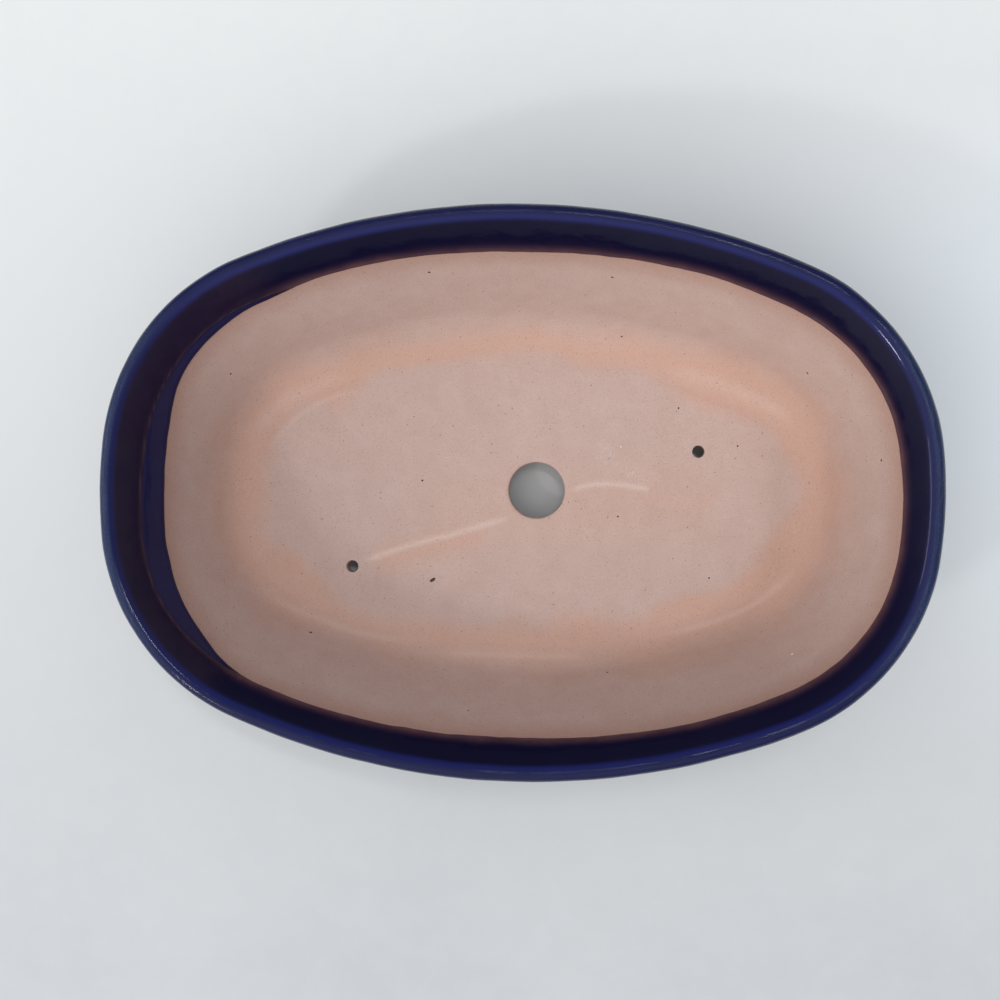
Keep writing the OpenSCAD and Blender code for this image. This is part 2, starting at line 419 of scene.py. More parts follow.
# Runs of the neck under the lip, of the lip's inner side, of the glaze's end and of the bare wall's
# top, which lies a little under the glaze
NECK_RUN = float(np.interp(NECK[1], SECTIONS[0][:BELLY_POINTS, 1],
                           np.linspace(0, 1, SECTION_POINTS)[:BELLY_POINTS]) * SECTION_LENGTH[0])
INNER_LIP_RUN = float(ARRIS_RUN.min() - 14)
RING = np.stack([np.cos(2 * math.pi * OVAL.turn), np.sin(2 * math.pi * OVAL.turn)], axis=1) * RING_R
OVER = round_the_rim(OVAL.turn, OVERRUN)
GLAZE_END = ARRIS_RUN + OVER + 0.12 * waves(RING, 30, 9, 31) + 0.05 * waves(RING, 11, 9, 32)
CLAY_TOP = GLAZE_END - 2.5


def on_section(run, proud):
    """Points at a run that stand proud of the clay's face, for each station."""
    run = np.broadcast_to(run, (STATIONS, np.shape(run)[-1]))
    step = np.clip(run / SECTION_LENGTH[:, None], 0, 1) * (SECTION_POINTS - 1)
    low = np.minimum(step.astype(int), SECTION_POINTS - 2)
    share = (step - low)[..., None]
    station = np.arange(STATIONS)[:, None]
    at = SECTIONS[station, low] * (1 - share) + SECTIONS[station, low + 1] * share
    out = SECTIONS_OUT[station, low] * (1 - share) + SECTIONS_OUT[station, low + 1] * share
    return at + np.broadcast_to(proud, run.shape)[..., None] * out


def lip_relief(run):
    """The glaze's unevenness: fine ridges along the lip and slow pooling everywhere."""
    angle = 2 * math.pi * np.broadcast_to(OVAL.turn[:, None], run.shape)
    rng = np.random.default_rng(41)
    ridges = np.zeros(run.shape)
    for wavelength in (1.5, 1.9, 2.3, 2.9, 3.7):
        drift = rng.uniform(0.6, 2.2) * np.sin(rng.integers(2, 6) * angle + rng.uniform(0, 6.3))
        drift += rng.uniform(0.2, 0.7) * np.sin(rng.integers(9, 22) * angle + rng.uniform(0, 6.3))
        swell = 0.6 + 0.4 * np.sin(rng.integers(3, 9) * angle + rng.uniform(0, 6.3))
        ridges += swell * np.sin(2 * math.pi * run / wavelength + drift)
    on_lip = ramp(run, NECK_RUN + 5, NECK_RUN + 10) * (1 - ramp(run, INNER_LIP_RUN - 2, INNER_LIP_RUN + 2))
    ring = np.stack([np.cos(angle) * RING_R, np.sin(angle) * RING_R, run], axis=-1).reshape(-1, 3)
    slow = (0.05 * waves(ring, 26, 14, 42) + 0.012 * waves(ring, 9, 18, 43)).reshape(run.shape)
    return 0.011 * ridges * on_lip + slow


def glaze_rows(over_lip, down_inside):
    """Runs for every station: fixed ones up over the lip, then shares of the way down to the glaze's end."""
    down = INNER_LIP_RUN + down_inside * (GLAZE_END[:, None] - INNER_LIP_RUN)
    return np.concatenate([np.broadcast_to(over_lip, (STATIONS, len(over_lip))), down], axis=1)


def glaze_proud(run):
    """How far the glaze's face stands proud of the clay: an even coat, rolled to an edge where it ends."""
    to_end = GLAZE_END[:, None] - run
    past_arris = run - ARRIS_RUN[:, None]
    edge = np.sqrt(np.clip(1 - (1 - np.clip(to_end / 0.55, 0, 1)) ** 2, 0, 1))
    thick = GLAZE_T * edge * (1 - 0.35 * np.exp(-(past_arris / 1.2) ** 2))
    bead = 0.16 * np.exp(-((to_end - 1.1) / 0.7) ** 2)
    ridge = 0.12 * np.exp(-past_arris ** 2) * ramp(to_end, 0, 1.2)
    swell = lip_relief(run) * ramp(to_end, 0, 3) * ramp(run, 0, 3)
    return thick + bead * edge + ridge + swell


def glaze_tints(run):
    """Masks for the glaze's material, and the place of each point on the unrolled glaze."""
    angle = 2 * math.pi * OVAL.turn[:, None] + 0 * run
    to_end = GLAZE_END[:, None] - run
    past_arris = run - ARRIS_RUN[:, None]
    inset = -on_section(run, 0)[..., 0]
    inside = ramp(run, INNER_LIP_RUN - 1.5, INNER_LIP_RUN - 0.5)
    over = ramp(OVER, 0.8, 4)[:, None]
    ends = ramp(np.abs(OVAL.out[:, :1]), 0.6, 0.95)
    collar = inside * ramp(inset, 5.0, 7.6) * (1 - ramp(past_arris, 0, 1.5) * over)
    thin = ramp(past_arris, -6.5, 0.8) * (1 - 0.7 * over) * np.where(past_arris > 0.3, 1 - over, 1)
    # The crest mask places the painted sheen on the lip's two ends
    crest = ends * ramp(run, NECK_RUN + 8, NECK_RUN + 12) * (1 - ramp(inset, 4.4, 5.6) * inside)
    rounded = ramp(run, NECK_RUN + 6, NECK_RUN + 12)
    return {
        "flow": np.stack([RING_R * np.cos(angle), RING_R * np.sin(angle), run], axis=-1).reshape(-1, 3),
        # On the left collar, above the overrun, a share of the thinned brown is a painted sheen
        "thin": np.maximum(thin, 0.32 * over * collar).ravel(),
        "line": (np.exp(-((past_arris - 0.1) / 0.28) ** 2) * over).ravel(),
        "edge_line": (np.exp(-(to_end / 1.1) ** 2) * over).ravel(),
        "lip": (inside * ramp(inset, 4.6, 5.7) * (1 - ramp(inset, 6.2, 8.0)) * (1 - 0.5 * ends)).ravel(),
        "collar": collar.ravel(),
        "crest": (crest * (1 - ramp(inset, 5.6, 6.0))).ravel(),
        "streaked": (rounded * (1 - ramp(run, INNER_LIP_RUN - 2, INNER_LIP_RUN + 2))).ravel(),
    }


def glaze_mesh():
    """The glaze as a closed shell, a little sunk into the clay behind."""
    run = glaze_rows(
        np.concatenate([steps(0, NECK_RUN, 1.4), steps(NECK_RUN, INNER_LIP_RUN, 0.5)]),
        np.concatenate([steps(0, 0.86, 1 / 34), steps(0.86, 0.975, 1 / 70), np.linspace(0.975, 1, 7)]))
    back = glaze_rows(
        np.concatenate([steps(0, NECK_RUN, 6), steps(NECK_RUN, INNER_LIP_RUN, 2.0)]),
        np.linspace(0, 0.97, 6))[:, ::-1]
    loop = np.concatenate([on_section(run, glaze_proud(run)), on_section(back, -GLAZE_SUNK)], axis=1)
    tints = glaze_tints(np.concatenate([run, back], axis=1))
    points = OVAL.points(loop).reshape(-1, 3)
    return new_mesh("glaze", points, ring_faces(STATIONS, loop.shape[1]), tints)


def wall_mesh():
    """The bare wall as a closed ring, from under the glaze down to the fillet's end."""
    down = CLAY_TOP[:, None] + np.linspace(0, 1, WALL_STEPS) * (SECTION_LENGTH - CLAY_TOP)[:, None]
    plain = OVAL.points(on_section(down, 0))
    inset = -on_section(down, 0)[..., 0]
    flat = plain[..., :2].reshape(-1, 2)
    proud = clay_relief(flat, inset.ravel()).reshape(down.shape)
    inside = on_section(down, proud)
    under = np.array([(-FLOOR_INSET, FLOOR_Z - WALL_SKIRT), (-SLAB_INSET, FLOOR_Z - WALL_SKIRT)])
    heel = np.array([(-SLAB_INSET, BASE_Z + 4), (-SLAB_INSET, BASE_Z + 0.4), (-SLAB_INSET + 0.4, BASE_Z),
                     (-BASE_INSET - 0.8, BASE_Z)])
    outside = on_section(np.linspace(0.2, NECK_RUN, 14), 0)[0]
    rest = np.vstack([under, heel, outside])
    loop = np.concatenate([inside, np.broadcast_to(rest, (STATIONS,) + rest.shape)], axis=1)
    points = OVAL.points(loop)
    turn = np.repeat(OVAL.turn, loop.shape[1])
    tints = clay_tints(points[..., :2].reshape(-1, 2), -loop[..., 0].ravel(), turn)
    past_glaze = np.full(loop.shape[:2], np.inf)
    past_glaze[:, :WALL_STEPS] = down - GLAZE_END[:, None]
    # A darker, redder band down the wall from the glaze's end: the glaze's flash, with painted shade under
    # the lip
    tints["flash_and_shade"] = 1 - ramp(past_glaze.ravel(), -1, 16)
    return new_mesh("clay_wall", points.reshape(-1, 3), ring_faces(STATIONS, loop.shape[1]), tints)


def rim_mesh():
    """The clay of the rim, all of it under the glaze."""
    share = np.linspace(0, 1, 56)
    run = NECK_RUN + share * (CLAY_TOP[:, None] + 0.6 - NECK_RUN)
    loop = on_section(run, 0)
    return new_mesh("clay_rim", OVAL.points(loop).reshape(-1, 3), ring_faces(STATIONS, loop.shape[1]))


def circle(centre, radius, count):
    """Points round a circle, anticlockwise."""
    angle = 2 * math.pi * np.arange(count) / count
    return np.array(centre) + radius * np.stack([np.cos(angle), np.sin(angle)], axis=1)


def inside_outline(places, outline, holes, margin):
    """Which places are at least a margin inside an outline and outside its round holes."""
    bearing = np.arctan2(outline[:, 1], outline[:, 0])
    order = np.argsort(bearing)
    reach = np.linalg.norm(outline, axis=1)[order]
    limit = np.interp(np.arctan2(places[:, 1], places[:, 0]), bearing[order], reach, period=2 * math.pi)
    keep = np.linalg.norm(places, axis=1) < limit - margin
    for centre, radius, _ in holes:
        keep &= np.linalg.norm(places - np.array(centre), axis=1) > radius + margin
    return keep


def triangulated(outline, holes, spacing):
    """Triangles over an outline with round holes, and their points: the rings come first."""
    rings = [outline] + [circle(c, r, n) for c, r, n in holes]
    edges, start = [], 0
    for ring in rings:
        index = start + np.arange(len(ring))
        edges += list(zip(index.tolist(), np.roll(index, -1).tolist()))
        start += len(ring)
    half_l, half_w = np.abs(outline).max(axis=0)
    inner = []
    for k, y in enumerate(np.arange(-half_w, half_w, spacing * math.sqrt(3) / 2)):
        xs = np.arange(-half_l, half_l, spacing) + (k % 2) * spacing / 2
        inner.append(np.stack([xs, np.full(len(xs), y)], axis=1))
    inner = np.vstack(inner)
    inner = inner[inside_outline(inner, outline, holes, 0.6 * spacing)]
    points = [Vector(p) for p in np.vstack(rings + [inner])]
    found = delaunay_2d_cdt(points, edges, [], 0, 1e-6, False)
    points = np.array([tuple(p) for p in found[0]])
    faces = np.array(found[2])
    return points, faces[inside_outline(points[faces].mean(axis=1), outline, holes, 0)]


def bridge(first, second):
    """Quads between two rings of the same number of points."""
    return np.stack([first, np.roll(first, -1), np.roll(second, -1), second], axis=1)


def hole_rings(radius, bend):
    """Radius and height of the rings down a drilled hole whose edges are rounded by a bend."""
    arc = np.radians([22.5, 45, 67.5, 90])
    rings = [(radius + bend * (1 - math.sin(a)), FLOOR_Z - bend * (1 - math.cos(a))) for a in arc]
    rings += [(radius, z) for z in np.linspace(FLOOR_Z - bend - 1, BASE_Z + bend, 5)]
    return rings + [(radius + bend * (1 - math.cos(a)), BASE_Z + bend * (1 - math.sin(a))) for a in arc[:-1]]


def floor_mesh():
    """The floor slab: its worked top, the drilled holes with softened edges and its underside."""
    outline = OVAL.points(np.array([[-FLOOR_INSET, 0.0]]))[:, 0, :2]
    under_outline = OVAL.points(np.array([[-SLAB_INSET, 0.0]]))[:, 0, :2]
    drills = []
    for mount in HOLES.values():
        centre = (mount["pos_m"][0] / MM, mount["pos_m"][1] / MM)
        radius = mount["dims"]["r_mm"]
        wide = radius > WIDE_HOLE
        drills.append((centre, radius, 1.0 if wide else 0.45, 120 if wide else 40))
    openings = [(centre, radius + bend, count) for centre, radius, bend, count in drills]
    top, top_faces = triangulated(outline, openings, 1.05)
    low, low_faces = triangulated(under_outline, openings, 2.4)
    height = clay_relief(top, OVAL.place(top)[0])
    points = [np.column_stack([top, FLOOR_Z + height]), np.column_stack([low, np.full(len(low), BASE_Z)])]
    faces = [top_faces, low_faces[:, ::-1] + len(top)]
    start = len(top) + len(low)
    ring_at = STATIONS
    for centre, radius, bend, count in drills:
        first = ring_at + np.arange(count)
        chain = [first]
        for k, (r, z) in enumerate(hole_rings(radius, bend)):
            lift = height[first] * max(0, 1 - k / 5)
            points.append(np.column_stack([circle(centre, r, count), z + lift]))
            chain.append(start + np.arange(count))
            start += count
        chain.append(len(top) + first)
        faces += [bridge(a, b) for a, b in zip(chain, chain[1:])]
        ring_at += count
    skirt = OVAL.points(np.array([(-FLOOR_INSET, FLOOR_Z - FLOOR_SKIRT), (-SLAB_INSET, FLOOR_Z - FLOOR_SKIRT),
                                  (-SLAB_INSET, BASE_Z + 0.5)]))
    points.append(skirt.transpose(1, 0, 2).reshape(-1, 3))
    ring = np.arange(STATIONS)
    chain = [ring] + [start + k * STATIONS + ring for k in range(skirt.shape[1])] + [len(top) + ring]
    faces += [bridge(b, a) for a, b in zip(chain, chain[1:])]
    points = np.vstack(points)
    inset, turn = OVAL.place(points[:, :2])
    tints = clay_tints(points[:, :2], inset, turn)
    # The floor gets none of that flash and painted shade
    tints["flash_and_shade"] = np.zeros(len(points))
    return new_mesh("clay_floor", points, [f for group in faces for f in group.tolist()], tints)


def match_seam(floor, wall):
    """Gives the floor and the wall the same normals where they meet, so that no line shows."""
    across = len(wall.vertices) // STATIONS
    seams = {floor.name: np.arange(STATIONS), wall.name: np.arange(STATIONS) * across + WALL_STEPS - 1}
    normals = {}
    for mesh in (floor, wall):
        flat = np.empty(len(mesh.vertices) * 3, np.float32)
        mesh.vertex_normals.foreach_get("vector", flat)
        normals[mesh.name] = flat.reshape(-1, 3)
    row_above = normals[wall.name][seams[wall.name] - 1]
    shared = row_above / np.linalg.norm(row_above, axis=1)[:, None]
    for mesh in (floor, wall):
        normals[mesh.name][seams[mesh.name]] = shared
        mesh.normals_split_custom_set_from_vertices(normals[mesh.name].tolist())


def on_clay(flat):
    """The place on the bare clay's face above a point in plan, and the face's normal there."""
    inset, turn = (float(v[0]) for v in OVAL.place(np.array([flat], float)))
    station = round(turn * STATIONS) % STATIONS
    section = SECTIONS[station]
    inner = section[:, 0].argmax() + PAST_THE_LIP
    at = int(np.abs(section[inner:, 0] + inset).argmin()) + inner
    proud = float(clay_relief(np.array([flat], float), np.array([inset]))[0])
    out = SECTIONS_OUT[station, at] if inset < FLOOR_INSET else np.array([0.0, 1.0])
    sideways = OVAL.out[station] * out[0]
    normal = Vector((sideways[0], sideways[1], out[1]))
    height = section[at, 1] if inset < FLOOR_INSET else FLOOR_Z
    return Vector((flat[0], flat[1], height)) + proud * normal, normal


def speck_mesh(name, specks, seed):
    """Small flattened lumps, half sunk into the clay."""
    rng = np.random.default_rng(seed)
    points, faces = [], []
    rows, around = 5, 10
    half_height = 0.16
    for flat, half_length, half_width, bearing in specks:
        at, normal = on_clay(flat)
        turned = normal.to_track_quat("Z", "Y").to_matrix() @ Matrix.Rotation(math.radians(bearing), 3, "Z")
        start = len(points)
        for row in range(rows + 1):
            tilt = math.pi * row / rows
            for k in range(around):
                angle = 2 * math.pi * k / around
                rough = 1 + 0.18 * rng.uniform(-1, 1) * math.sin(tilt)
                local = Vector((half_length * math.sin(tilt) * math.cos(angle) * rough,
                                half_width * math.sin(tilt) * math.sin(angle) * rough,
                                half_height * math.cos(tilt)))
                points.append(tuple(at + turned @ local))
        for row in range(rows):
            for k in range(around):
                k2 = (k + 1) % around
                a, b = start + row * around, start + (row + 1) * around
                faces.append((a + k, b + k, b + k2, a + k2))
    return new_mesh(name, points, faces)


# ---------------------------------------------------------------- materials
def srgb(red, green, blue):
    """A colour given as 8-bit screen values, as linear values."""
    def linear(c):
        c /= 255
        return c / 12.92 if c <= 0.04045 else ((c + 0.055) / 1.055) ** 2.4
    return (linear(red), linear(green), linear(blue), 1.0)


CLAY = srgb(201, 174, 165)
CLAY_LIGHT = srgb(206, 181, 173)
BLUSHED = srgb(213, 167, 145)
# Redder, darker clay down from the glaze's end: the glaze's flash, with painted shade
FLASH_AND_SHADE_TINT = srgb(180, 138, 122)
# Tint of the painted shade on the wall
PAINTED_SHADE_TINT = (0.84, 0.83, 0.82, 1.0)
SLIP = srgb(226, 204, 196)
CHALK = srgb(236, 228, 224)
DUSKY = srgb(212, 205, 202)
IRON_SPOT = srgb(112, 86, 78)
BARE_SOLE = srgb(196, 164, 150)

COBALT_DEEP = srgb(15, 20, 64)
COBALT_LIGHT = srgb(19, 26, 78)
COBALT_LIP = srgb(18, 24, 86)
COBALT_COLLAR = srgb(15, 13, 42)
# Painted sheen on the crest at the lip's two ends
PAINTED_SHEEN = srgb(58, 74, 106)
# Brown of glaze thinned over the clay, also a painted sheen on the left collar
THIN_GLAZE_AND_SHEEN = srgb(92, 62, 68)
ARRIS_LINE = srgb(96, 74, 72)
RED_EDGE = srgb(60, 32, 34)

# The table's colours: its darkening from back to front is painted shade
TABLE_NEAR = srgb(199, 202, 206)
TABLE_FAR = srgb(240, 241, 242)
TABLE_CLOUD = srgb(226, 228, 230)
TABLE_GRAIN = srgb(222, 226, 229)
# A painted patch of light beside the pot, and black for the painted shadow under it
TABLE_BESIDE = srgb(240, 247, 254)
BLACK = srgb(0, 0, 0)


class Shader:
    """A material whose nodes are added one call at a time."""

    def __init__(self, name):
        self.material = bpy.data.materials.new(name)
        self.material.use_nodes = True
        self.tree = self.material.node_tree
        self.surface = self.tree.nodes["Principled BSDF"]

    def add(self, kind, inputs=(), **settings):
        """A node with its settings, and its inputs as values or as other nodes' outputs."""
        node = self.tree.nodes.new("ShaderNode" + kind)
        for key, value in settings.items():
            setattr(node, key, value)
        for key, value in dict(inputs).items():
            self.put(node.inputs[key], value)
        return node

    def put(self, socket, value):
        """Sets a socket to a value, or links it to another node's output."""
        if isinstance(value, bpy.types.NodeSocket):
            self.tree.links.new(value, socket)
        else:
            socket.default_value = value

    def math(self, operation, a, b=0.0, clamp=False):
        """One arithmetic step on two values."""
        return self.add("Math", {0: a, 1: b}, operation=operation, use_clamp=clamp).outputs[0]

    def times(self, a, b, clamp=False):
        """The product of two values."""
        return self.math("MULTIPLY", a, b, clamp)

    def mix(self, share, a, b, blend="MIX"):
        """A share of colour b over colour a."""
        node = self.add("Mix", {0: share, 6: a, 7: b}, data_type="RGBA", blend_type=blend)
        return node.outputs[2]

    def attribute(self, name, output="Fac"):
        """A mask that is stored on the mesh."""
        return self.add("Attribute", attribute_name=name).outputs[output]

    def position(self):
        """The place on the piece, in millimetres."""
        coords = self.add("TexCoord").outputs["Object"]
        return self.add("VectorMath", {0: coords, "Scale": 1 / MM}, operation="SCALE").outputs[0]

    def noise(self, vector, scale, detail=2.0, rough=0.5):
        """Noise from 0 to 1 whose grains are about 1 / scale across."""
        return self.add("TexNoise", {"Vector": vector, "Scale": scale, "Detail": detail,
                                     "Roughness": rough}).outputs["Fac"]

    def span(self, value, low, high, to_low=0.0, to_high=1.0):
        """A value's range stretched to another one, and held at its ends."""
        node = self.add("MapRange", {0: value, 1: low, 2: high, 3: to_low, 4: to_high})
        return node.outputs[0]

    def bump(self, height, distance, strength=1.0, normal=None):
        """A normal bent by a height, whose full range stands for a distance in millimetres."""
        inputs = {"Height": height, "Distance": distance * MM, "Strength": strength}
        if normal is not None:
            inputs["Normal"] = normal
        return self.add("Bump", inputs).outputs[0]

    def finish(self, **sockets):
        """The material, with the shader's sockets set or linked."""
        for key, value in sockets.items():
            self.put(self.surface.inputs[key.replace("_", " ")], value)
        return self.material


def clay_look(s, where):
    """The bare clay's colour and bump, from the masks on its mesh."""
    fine = s.noise(where, 1.6, 3.0, 0.6)
    mottle = s.noise(where, 0.09, 3.0, 0.55)
    colour = s.mix(s.span(mottle, 0.3, 0.7), CLAY, CLAY_LIGHT)
    patchy = s.span(s.noise(where, 0.35, 4.0, 0.6), 0.25, 0.75, 0.75, 1.05)
    colour = s.mix(s.times(s.times(s.attribute("blush"), patchy), 0.6), colour, BLUSHED)
    # The glaze's flash on the wall's top, with painted shade there
    colour = s.mix(s.times(s.attribute("flash_and_shade"), 0.55), colour, FLASH_AND_SHADE_TINT)
    # Painted shade on the wall, from the shade mask
    colour = s.mix(s.attribute("shade"), colour, s.mix(1.0, colour, PAINTED_SHADE_TINT, "MULTIPLY"))
    colour = s.mix(s.times(s.attribute("pale"), 0.6), colour, SLIP)
    smudge = s.times(s.attribute("chalk"), s.span(s.noise(where, 0.9, 4.0, 0.7), 0.52, 0.66))
    colour = s.mix(s.times(smudge, 0.5, True), colour, CHALK)
    colour = s.mix(s.span(fine, 0.3, 0.7, 0.0, 0.35), colour, s.mix(1.0, colour, DUSKY, "MULTIPLY"))
    for scale, share, size, weight in ((0.9, 0.32, 0.26, 0.45), (0.33, 0.16, 0.13, 0.75)):
        cells = s.add("TexVoronoi", {"Vector": where, "Scale": scale, "Randomness": 1.0})
        chosen = s.math("LESS_THAN", s.add("SeparateColor", {0: cells.outputs["Color"]}).outputs[0], share)
        spot = s.times(s.span(cells.outputs["Distance"], size, size * 0.45), chosen)
        colour = s.mix(s.times(spot, weight), colour, IRON_SPOT)
    grain = s.add("TexVoronoi", {"Vector": where, "Scale": 1.4}).outputs["Distance"]
    return colour, s.bump(fine, 0.12, 0.5, s.bump(grain, 0.07, 0.6))


def bare_clay():
    """Unglazed stoneware: pink-beige, blushed, with grog and iron specks."""
    s = Shader("bare_clay")
    colour, normal = clay_look(s, s.position())
    rough = s.span(s.noise(s.position(), 0.8), 0.3, 0.7, 0.82, 0.93)
    s.put(s.surface.inputs["Specular IOR Level"], 0.22)
    return s.finish(Base_Color=colour, Normal=normal, Roughness=rough)


def glaze_colour(s, flow, streaky):
    """The glaze's cobalt: brown where it thins and, as painted sheen, on the left collar, with the sheen on
    the lip's two ends painted in.
    """
    colour = s.mix(s.span(s.noise(flow, 0.05, 3.0), 0.3, 0.7, 0.0, 0.5), COBALT_DEEP, COBALT_LIGHT)
    colour = s.mix(s.attribute("collar"), colour, COBALT_COLLAR)
    colour = s.mix(s.attribute("lip"), colour, COBALT_LIP)
    uneven = s.span(s.noise(flow, 0.12, 3.0), 0.2, 0.8, 0.75, 1.1)
    # Thinned glaze, and a painted sheen on the left collar
    thin = s.times(s.attribute("thin"), uneven, True)
    colour = s.mix(s.math("POWER", thin, 1.8), colour, THIN_GLAZE_AND_SHEEN)
    colour = s.mix(s.times(s.attribute("line"), 0.3), colour, ARRIS_LINE)
    colour = s.mix(s.times(s.attribute("edge_line"), 0.75), colour, RED_EDGE)
    # Painted sheen, in streaks, on the crest at the lip's two ends
    return s.mix(s.times(s.attribute("crest"), streaky), colour, PAINTED_SHEEN)


def cobalt_glaze():
    """Gloss cobalt glaze with fine streaks and pinholes along the lip."""
    s = Shader("cobalt_glaze")
    flow = s.attribute("flow", "Vector")
    where = s.position()
    streaks = s.add("Mapping", {"Vector": flow, "Scale": (0.06, 0.06, 2.2)}, vector_type="POINT").outputs[0]
    lines = s.noise(streaks, 1.0, 4.0, 0.7)
    dots = s.noise(where, 1.5, 2.0, 0.7)
    streaky = s.times(s.span(lines, 0.3, 0.7, 0.1, 0.9), s.span(dots, 0.35, 0.65, 0.45, 1.0))
    colour = glaze_colour(s, flow, streaky)
    on_lip = s.attribute("streaked")
    rugged = s.span(s.noise(flow, 0.022, 2.0), 0.42, 0.58, 0.06, 1.0)
    pits = s.add("TexVoronoi", {"Vector": where, "Scale": 0.9}).outputs["Distance"]
    normal = s.bump(s.noise(where, 0.25, 2.0), 0.15, 0.3)
    normal = s.bump(s.times(lines, on_lip), 0.11, 0.8, normal)
    normal = s.bump(s.times(dots, s.times(rugged, on_lip)), 0.28, 0.8, normal)
    normal = s.bump(s.span(pits, 0.0, 0.18), 0.05, 0.5, normal)
    s.put(s.surface.inputs["Specular IOR Level"], 0.2)
    return s.finish(Base_Color=colour, Normal=normal, Roughness=s.span(lines, 0.3, 0.7, 0.07, 0.14))


def glazed_foot():
    """The same glaze on a foot, thin at the bottom and wiped off its sole."""
    s = Shader("glazed_foot")
    where = s.position()
    height = s.add("SeparateXYZ", {0: where}).outputs[2]
    edge = s.math("ADD", height, s.span(s.noise(where, 0.4), 0.3, 0.7, -0.2, 0.2))
    wiped = s.span(edge, 0.75, 0.45)
    colour = s.mix(s.span(s.noise(where, 0.2, 3.0), 0.3, 0.7), COBALT_DEEP, COBALT_LIGHT)
    colour = s.mix(s.span(edge, 1.4, 0.7, 0.0, 0.7), colour, RED_EDGE)
    s.put(s.surface.inputs["Specular IOR Level"], 0.2)
    return s.finish(Base_Color=s.mix(wiped, colour, BARE_SOLE),
                    Roughness=s.span(wiped, 0.0, 1.0, 0.12, 0.85),
                    Normal=s.bump(s.noise(where, 0.25, 2.0), 0.15, 0.3))


def plain_mineral(name, dark, light, rough):
    """A speck's material: one mineral, a little mottled."""
    s = Shader(name)
    where = s.position()
    colour = s.mix(s.span(s.noise(where, 3.0, 2.0), 0.35, 0.65), dark, light)
    return s.finish(Base_Color=colour, Roughness=rough, Normal=s.bump(s.noise(where, 4.0), 0.1, 0.6))


def table_paper():
    """The plain pale table, with light and shade painted in: paler at the back and beside the pot, and a
    painted shadow under the pot's middle.
    """
    s = Shader("table")
    where = s.position()
    x, y, _ = s.add("SeparateXYZ", {0: where}).outputs
    # Painted shade: the table darker towards its front
    colour = s.mix(s.span(y, -230, 260), TABLE_NEAR, TABLE_FAR)
    colour = s.mix(s.span(s.noise(where, 0.004, 3.0), 0.35, 0.65, 0.0, 0.3), colour, TABLE_CLOUD)
    colour = s.mix(s.span(s.noise(where, 0.06, 5.0, 0.65), 0.4, 0.8, 0.0, 0.2), colour, TABLE_GRAIN)
    # Painted in, to make up for the lights: a paler patch beside the pot and a darker one under it
    beside = s.times(s.math("MINIMUM", s.span(y, -120, 20), s.span(y, 200, 110)), s.span(x, 70, 230))
    colour = s.mix(s.times(beside, 0.85), colour, TABLE_BESIDE)
    from_middle = s.add("VectorMath", {0: where}, operation="LENGTH").outputs["Value"]
    colour = s.mix(s.span(from_middle, 30, 60, 0.34, 0.0), colour, BLACK)
    return s.finish(Base_Color=colour, Roughness=0.6)


# ---------------------------------------------------------------- camera, light and table
# The camera was fitted to the photograph by scratch programs. The light levels started from such a
# fit too, and were then changed.
CAMERA_AT = (32, 5, 641.3)
CAMERA_LENS = 48.6
# How it leans from straight down: degrees about each axis in turn
CAMERA_TURNS = ((3.88, "Y"), (-0.81, "X"), (1.28, "Z"))
# How bright the room is at heights above the horizon, given as the sine of the elevation
ROOM = {0.12: 0.14, 0.30: 0.36, 0.60: 0.58, 0.85: 0.55, 1.0: 0.38}
ROOM_TINT = (0.93, 1.0, 1.065)
# The brighter side of the room, where the windows are: its direction, and the light it adds
WINDOW_SIDE = (-0.46, -0.52, 0.72)
WINDOW_GLOW = (0.84, 0.79, 0.72)
# Lamps: name, place and size in metres, and watts
LAMPS = [
    ("window_lamp", (-1.15, -1.05, 1.5), (0.17, 0.17), 5.0),
    ("left_softbox", (-2.2, 0.1, 1.25), (1.0, 0.4), 4.5),
    ("ceiling_lamp", (0.26, 0.46, 2.0), (0.5, 0.1), 4.4),
]


def make_camera():
    """The camera above the pot, a little to its right, leaning back towards its middle."""
    data = bpy.data.cameras.new("camera")
    data.sensor_width = 36
    data.lens = CAMERA_LENS
    camera = bpy.data.objects.new("camera", data)
    turned = Matrix.Identity(4)
    for angle, axis in CAMERA_TURNS:
        turned = turned @ Matrix.Rotation(math.radians(angle), 4, axis)
    camera.matrix_world = Matrix.Translation(Vector(CAMERA_AT) * MM) @ turned
    bpy.context.scene.collection.objects.link(camera)
    bpy.context.scene.camera = camera


def area_light(name, at, size, watts):
    """A soft rectangular light that faces the pot."""
    data = bpy.data.lights.new(name, "AREA")
    data.shape = "RECTANGLE"
    data.size, data.size_y = size
    data.energy = watts
    lamp = bpy.data.objects.new(name, data)
    lamp.location = at
    lamp.rotation_euler = (Vector((0, 0, 0.05)) - Vector(at)).to_track_quat("-Z", "Y").to_euler()
    bpy.context.scene.collection.objects.link(lamp)


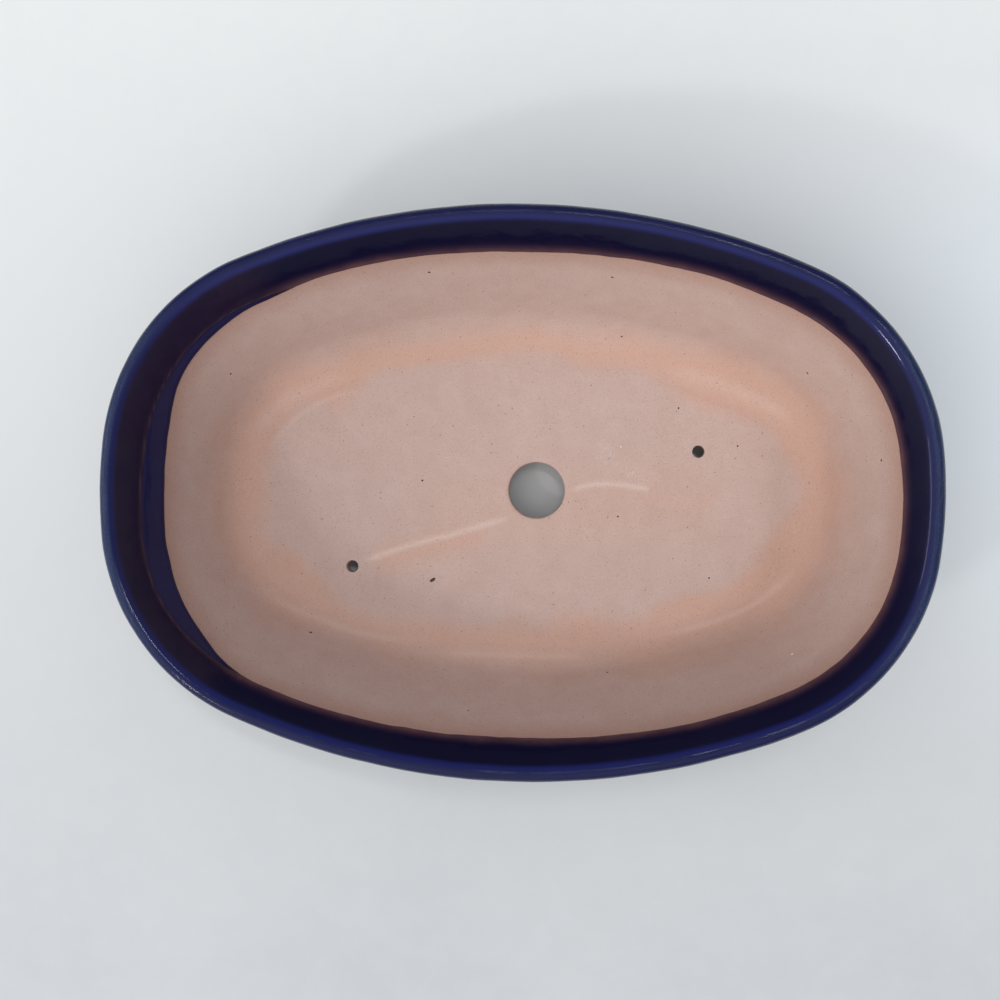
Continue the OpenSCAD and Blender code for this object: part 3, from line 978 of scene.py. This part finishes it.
def make_light():
    """A room that is dim at the horizon and bright above, brighter on the window side, and the lamps."""
    world = bpy.data.worlds.new("room")
    world.use_nodes = True
    tree = world.node_tree
    direction = tree.nodes.new("ShaderNodeTexCoord").outputs["Generated"]

    def component(along):
        """How far a direction in the room points along another one."""
        node = tree.nodes.new("ShaderNodeVectorMath")
        node.operation = "DOT_PRODUCT"
        tree.links.new(direction, node.inputs[0])
        node.inputs[1].default_value = along
        return node.outputs["Value"]

    shade = tree.nodes.new("ShaderNodeValToRGB")
    stops = shade.color_ramp.elements
    for position in list(ROOM)[2:]:
        stops.new(position)
    for stop, (position, level) in zip(stops, ROOM.items()):
        stop.position = position
        stop.color = [level * tint for tint in ROOM_TINT] + [1]
    tree.links.new(component((0, 0, 1)), shade.inputs[0])
    glow = tree.nodes.new("ShaderNodeMapRange")
    glow.interpolation_type = "SMOOTHSTEP"
    glow.inputs[1].default_value, glow.inputs[2].default_value = 0.3, 0.98
    tree.links.new(component(Vector(WINDOW_SIDE).normalized()), glow.inputs[0])
    both = tree.nodes.new("ShaderNodeVectorMath")
    both.operation = "MULTIPLY_ADD"
    tree.links.new(glow.outputs[0], both.inputs[0])
    both.inputs[1].default_value = WINDOW_GLOW
    tree.links.new(shade.outputs[0], both.inputs[2])
    tree.links.new(both.outputs[0], tree.nodes["Background"].inputs["Color"])
    bpy.context.scene.world = world
    for name, at, size, watts in LAMPS:
        area_light(name, at, size, watts)
    bpy.context.scene.view_settings.view_transform = "Standard"


def make_table():
    """The table top, which the feet stand on."""
    side, reach = 40, 3000
    xs = np.linspace(-reach, reach, side + 1)
    points = [(x, y, 0.0) for y in xs for x in xs]
    row = side + 1
    faces = [(j * row + i, j * row + i + 1, (j + 1) * row + i + 1, (j + 1) * row + i)
             for j in range(side) for i in range(side)]
    table = bpy.data.objects.new("table", new_mesh("table", points, faces))
    bpy.context.scene.collection.objects.link(table)
    table.data.materials.append(table_paper())


# How fine the mesh of the softened feet is
FOOT_VOXEL = 0.45


def foot_piece(name):
    """A bracket foot: the CAD shape softened as hand-worked clay."""
    mesh = frame["nodes"][name].data.copy()
    mesh.name = name + "_worked"
    piece = new_piece(name + "_worked", mesh, "glazed_foot", name)
    remesh = piece.modifiers.new("remesh", "REMESH")
    remesh.mode = "VOXEL"
    remesh.voxel_size = FOOT_VOXEL * MM
    soften = piece.modifiers.new("soften", "SMOOTH")
    soften.factor = 0.5
    soften.iterations = 8
    done = bpy.data.meshes.new_from_object(piece.evaluated_get(bpy.context.evaluated_depsgraph_get()))
    piece.modifiers.clear()
    piece.data = done
    done.shade_smooth()
    return piece


make_camera()
make_light()
make_table()

clay = bare_clay()
glaze = cobalt_glaze()
foot_glaze = glazed_foot()
floor_piece = new_piece("clay_floor", floor_mesh(), "bare_clay", "floor_slab")
wall_piece = new_piece("clay_wall", wall_mesh(), "bare_clay", "wall")
rim_piece = new_piece("clay_rim", rim_mesh(), "bare_clay", "rim_band")
glaze_piece = new_piece("glaze", glaze_mesh(), "cobalt_glaze", "glaze_coat")
match_seam(floor_piece.data, wall_piece.data)
for piece in (floor_piece, wall_piece, rim_piece):
    piece.data.materials.append(clay)
glaze_piece.data.materials.append(glaze)
irons = new_piece("iron_specks", speck_mesh("iron_specks", IRON_SPECKS, 51), "bare_clay")
irons.data.materials.append(plain_mineral("iron", srgb(38, 30, 28), srgb(62, 46, 42), 0.5))
flecks = new_piece("white_flecks", speck_mesh("white_flecks", WHITE_FLECKS, 52), "bare_clay")
flecks.data.materials.append(plain_mineral("quartz", srgb(226, 216, 210), srgb(238, 232, 228), 0.6))
for name in ("foot_front_left", "foot_front_right", "foot_back_left", "foot_back_right"):
    foot = foot_piece(name)
    foot.data.materials.clear()
    foot.data.materials.append(foot_glaze)
